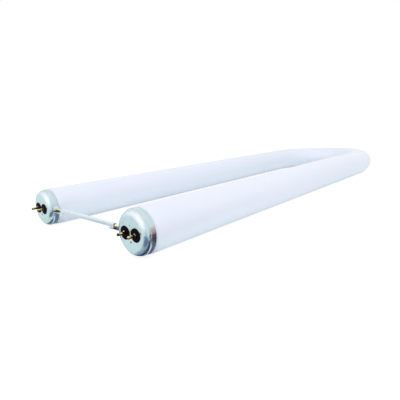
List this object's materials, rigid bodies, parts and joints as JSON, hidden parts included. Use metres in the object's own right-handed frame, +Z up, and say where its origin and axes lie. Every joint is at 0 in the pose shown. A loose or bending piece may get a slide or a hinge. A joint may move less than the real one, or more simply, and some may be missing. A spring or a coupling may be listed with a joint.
{
  "type": "u shaped fluorescent lamp",
  "caption": "U-bent fluorescent tube with an aluminium bi-pin cap on each leg and a metal spacer bar between the caps, lying flat.",
  "frame": {"origin": "under the middle of the lamp, on the surface that it lies on", "axes": "+X along the legs from the contact pins to the bend, +Y from the right leg to the left leg, +Z up, square to the plane of the U"},
  "size_m": [0.5714, 0.1904, 0.0381],
  "materials": {
    "coated_glass": "phosphor-coated glass, opaque white, glossy",
    "cap_aluminium": "drawn aluminium, satin",
    "basing_cement": "dull basing cement",
    "black_insulator": "moulded black insulating plastic",
    "pin_brass": "bright brass",
    "lead_wire": "bare nickel-plated wire",
    "bar_metal": "rolled sheet tube, satin",
    "bracket_metal": "bright plated strip",
    "rivet_brass": "bright brass"
  },
  "bodies": {
    "root": {"glass_tube": "coated_glass", "spacer_bar": "bar_metal", "left_end_cap": "cap_aluminium", "left_cap_cement": "basing_cement", "left_bar_bracket": "bracket_metal", "left_bar_pin": "rivet_brass", "left_outer_insulator": "black_insulator", "left_outer_contact_pin": "pin_brass", "left_outer_lead_wire": "lead_wire", "left_inner_insulator": "black_insulator", "left_inner_contact_pin": "pin_brass", "left_inner_lead_wire": "lead_wire", "right_end_cap": "cap_aluminium", "right_cap_cement": "basing_cement", "right_bar_bracket": "bracket_metal", "right_bar_pin": "rivet_brass", "right_outer_insulator": "black_insulator", "right_outer_contact_pin": "pin_brass", "right_outer_lead_wire": "lead_wire", "right_inner_insulator": "black_insulator", "right_inner_contact_pin": "pin_brass", "right_inner_lead_wire": "lead_wire"}
  },
  "joints": []
}
